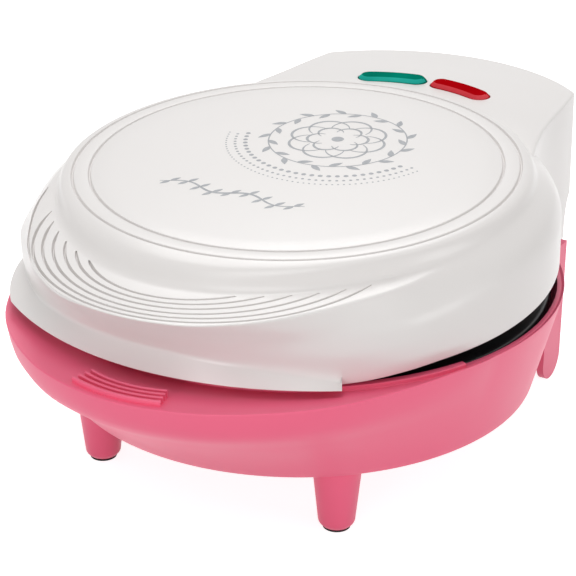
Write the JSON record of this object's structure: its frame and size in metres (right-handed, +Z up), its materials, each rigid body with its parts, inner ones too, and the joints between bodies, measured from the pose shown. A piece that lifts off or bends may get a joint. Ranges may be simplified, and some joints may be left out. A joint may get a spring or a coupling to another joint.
{
  "type": "mini cupcake maker",
  "caption": "Electric tabletop cupcake maker: round footed bowl with a front grip ledge, hinged nose-down lid with visor, ring grooves, signal lamps and facing cooking plates.",
  "frame": {"origin": "middle of the footprint on the surface that the maker stands on", "axes": "+Z up, -Y towards the front grip, +X to the right seen from the front"},
  "size_m": [0.2066, 0.2886, 0.1173],
  "materials": {
    "base_plastic": "satin pink moulded plastic",
    "lid_plastic": "glossy warm white moulded plastic",
    "rubber": "black rubber",
    "gland_rubber": "black rubber bush",
    "coated_aluminium": "cast aluminium with a black non-stick coating",
    "element_steel": "dull steel tube",
    "reflector_sheet": "bright aluminium sheet",
    "ceramic": "unglazed ceramic, off-white",
    "green_lens": "clear-coated green plastic",
    "red_lens": "clear-coated red plastic",
    "lamp_glass": "clear glass bulb",
    "board_laminate": "brown laminate",
    "steel": "zinc-plated steel"
  },
  "bodies": {
    "base": {"base_shell": "base_plastic", "front_foot_pad_left": "rubber", "front_foot_pad_right": "rubber", "lower_cooking_plate": "coated_aluminium", "lower_heating_element": "element_steel", "lower_reflector": "reflector_sheet", "thermostat": "ceramic", "thermal_fuse": "steel", "terminal_block": "ceramic", "cord_gland": "gland_rubber", "lower_plate_screw_1": "steel", "lower_plate_screw_2": "steel", "lower_plate_screw_3": "steel", "hinge_pin_left": "steel", "hinge_pin_right": "steel"},
    "lid": {"lid_shell": "lid_plastic", "upper_cooking_plate": "coated_aluminium", "upper_heating_element": "element_steel", "upper_reflector": "reflector_sheet", "green_ready_lens": "green_lens", "red_power_lens": "red_lens", "green_lamp": "lamp_glass", "red_lamp": "lamp_glass", "lamp_board": "board_laminate", "hinge_cover": "lid_plastic", "upper_plate_screw_1": "steel", "upper_plate_screw_2": "steel", "upper_plate_screw_3": "steel", "lamp_board_screw_1": "steel", "lamp_board_screw_2": "steel", "hinge_cover_screw_1": "steel", "hinge_cover_screw_2": "steel"}
  },
  "joints": [
    {"name": "lid_hinge", "type": "hinge", "parent": "base", "child": "lid", "pos_m": [0, 0.09498, 0.0564], "axis": [-1, 0, 0], "range_deg": [0, 95]}
  ]
}
